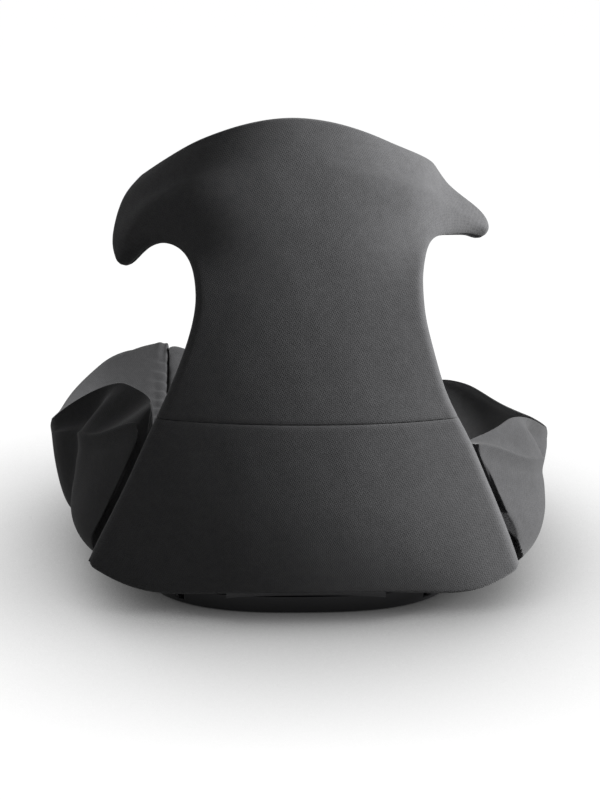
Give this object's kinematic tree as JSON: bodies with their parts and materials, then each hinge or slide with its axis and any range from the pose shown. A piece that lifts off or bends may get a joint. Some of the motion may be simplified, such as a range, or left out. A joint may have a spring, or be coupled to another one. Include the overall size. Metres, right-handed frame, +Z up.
{
  "type": "posture support seat",
  "caption": "Low padded bucket seat with a narrow-waisted backrest, curled shoulder wings and raised hip wings, standing on a moulded tray with grip pads.",
  "frame": {"origin": "middle of the centre grip pad's underside, on the face that the seat stands on", "axes": "+Z up, +Y the way the sitter faces, +X the sitter's right"},
  "size_m": [0.4336, 0.3963, 0.4],
  "materials": {
    "back_fabric": "fine weave, matt",
    "front_fabric": "fine weave, matt",
    "seat_fabric": "fine weave, matt",
    "pad_foam": "open-cell foam",
    "lumbar_foam": "dense foam",
    "wadding": "needled wadding",
    "leaf_plastic": "moulded, fine grain",
    "shell_plastic": "moulded, fine grain",
    "tray_plastic": "moulded, satin",
    "rivet_plastic": "moulded",
    "grip_rubber": "matt",
    "screw_steel": "zinc plated",
    "bar_steel": "zinc plated"
  },
  "bodies": {
    "base": {"base_tray": "tray_plastic", "grip_pad_centre": "grip_rubber", "grip_pads_corner": "grip_rubber", "seat_screws": "screw_steel", "leaf_screws": "screw_steel", "leaf_foot": "leaf_plastic", "clamp_bar": "bar_steel", "seat_shell": "shell_plastic", "seat_foam": "pad_foam", "seat_cover": "seat_fabric", "seat_rivets": "rivet_plastic"},
    "back": {"rear_cover_lower": "back_fabric", "rear_cover_upper": "back_fabric", "front_cover": "front_fabric", "back_wadding": "wadding", "back_leaf": "leaf_plastic", "lumbar_pad": "lumbar_foam", "back_foam": "pad_foam"},
    "left_wing": {"wing_cover_left": "seat_fabric", "wing_foam_left": "pad_foam", "wing_shell_left": "shell_plastic", "wing_rivets_left": "rivet_plastic"},
    "right_wing": {"wing_cover_right": "seat_fabric", "wing_foam_right": "pad_foam", "wing_shell_right": "shell_plastic", "wing_rivets_right": "rivet_plastic"}
  },
  "joints": [
    {"name": "back_flex", "type": "hinge", "parent": "base", "child": "back", "pos_m": [0, -0.166, 0.028], "axis": [1, 0, 0], "range_deg": [0, 12], "stiffness_Nm_per_rad": 60, "springref_deg": -1.15},
    {"name": "left_wing_flex", "type": "hinge", "parent": "base", "child": "left_wing", "pos_m": [-0.1185, 0, 0.029], "axis": [0, -1, 0], "range_deg": [0, 8], "stiffness_Nm_per_rad": 30, "springref_deg": -1.15},
    {"name": "right_wing_flex", "type": "hinge", "parent": "base", "child": "right_wing", "pos_m": [0.1185, 0, 0.029], "axis": [0, 1, 0], "range_deg": [0, 8], "stiffness_Nm_per_rad": 30, "springref_deg": -1.15}
  ]
}
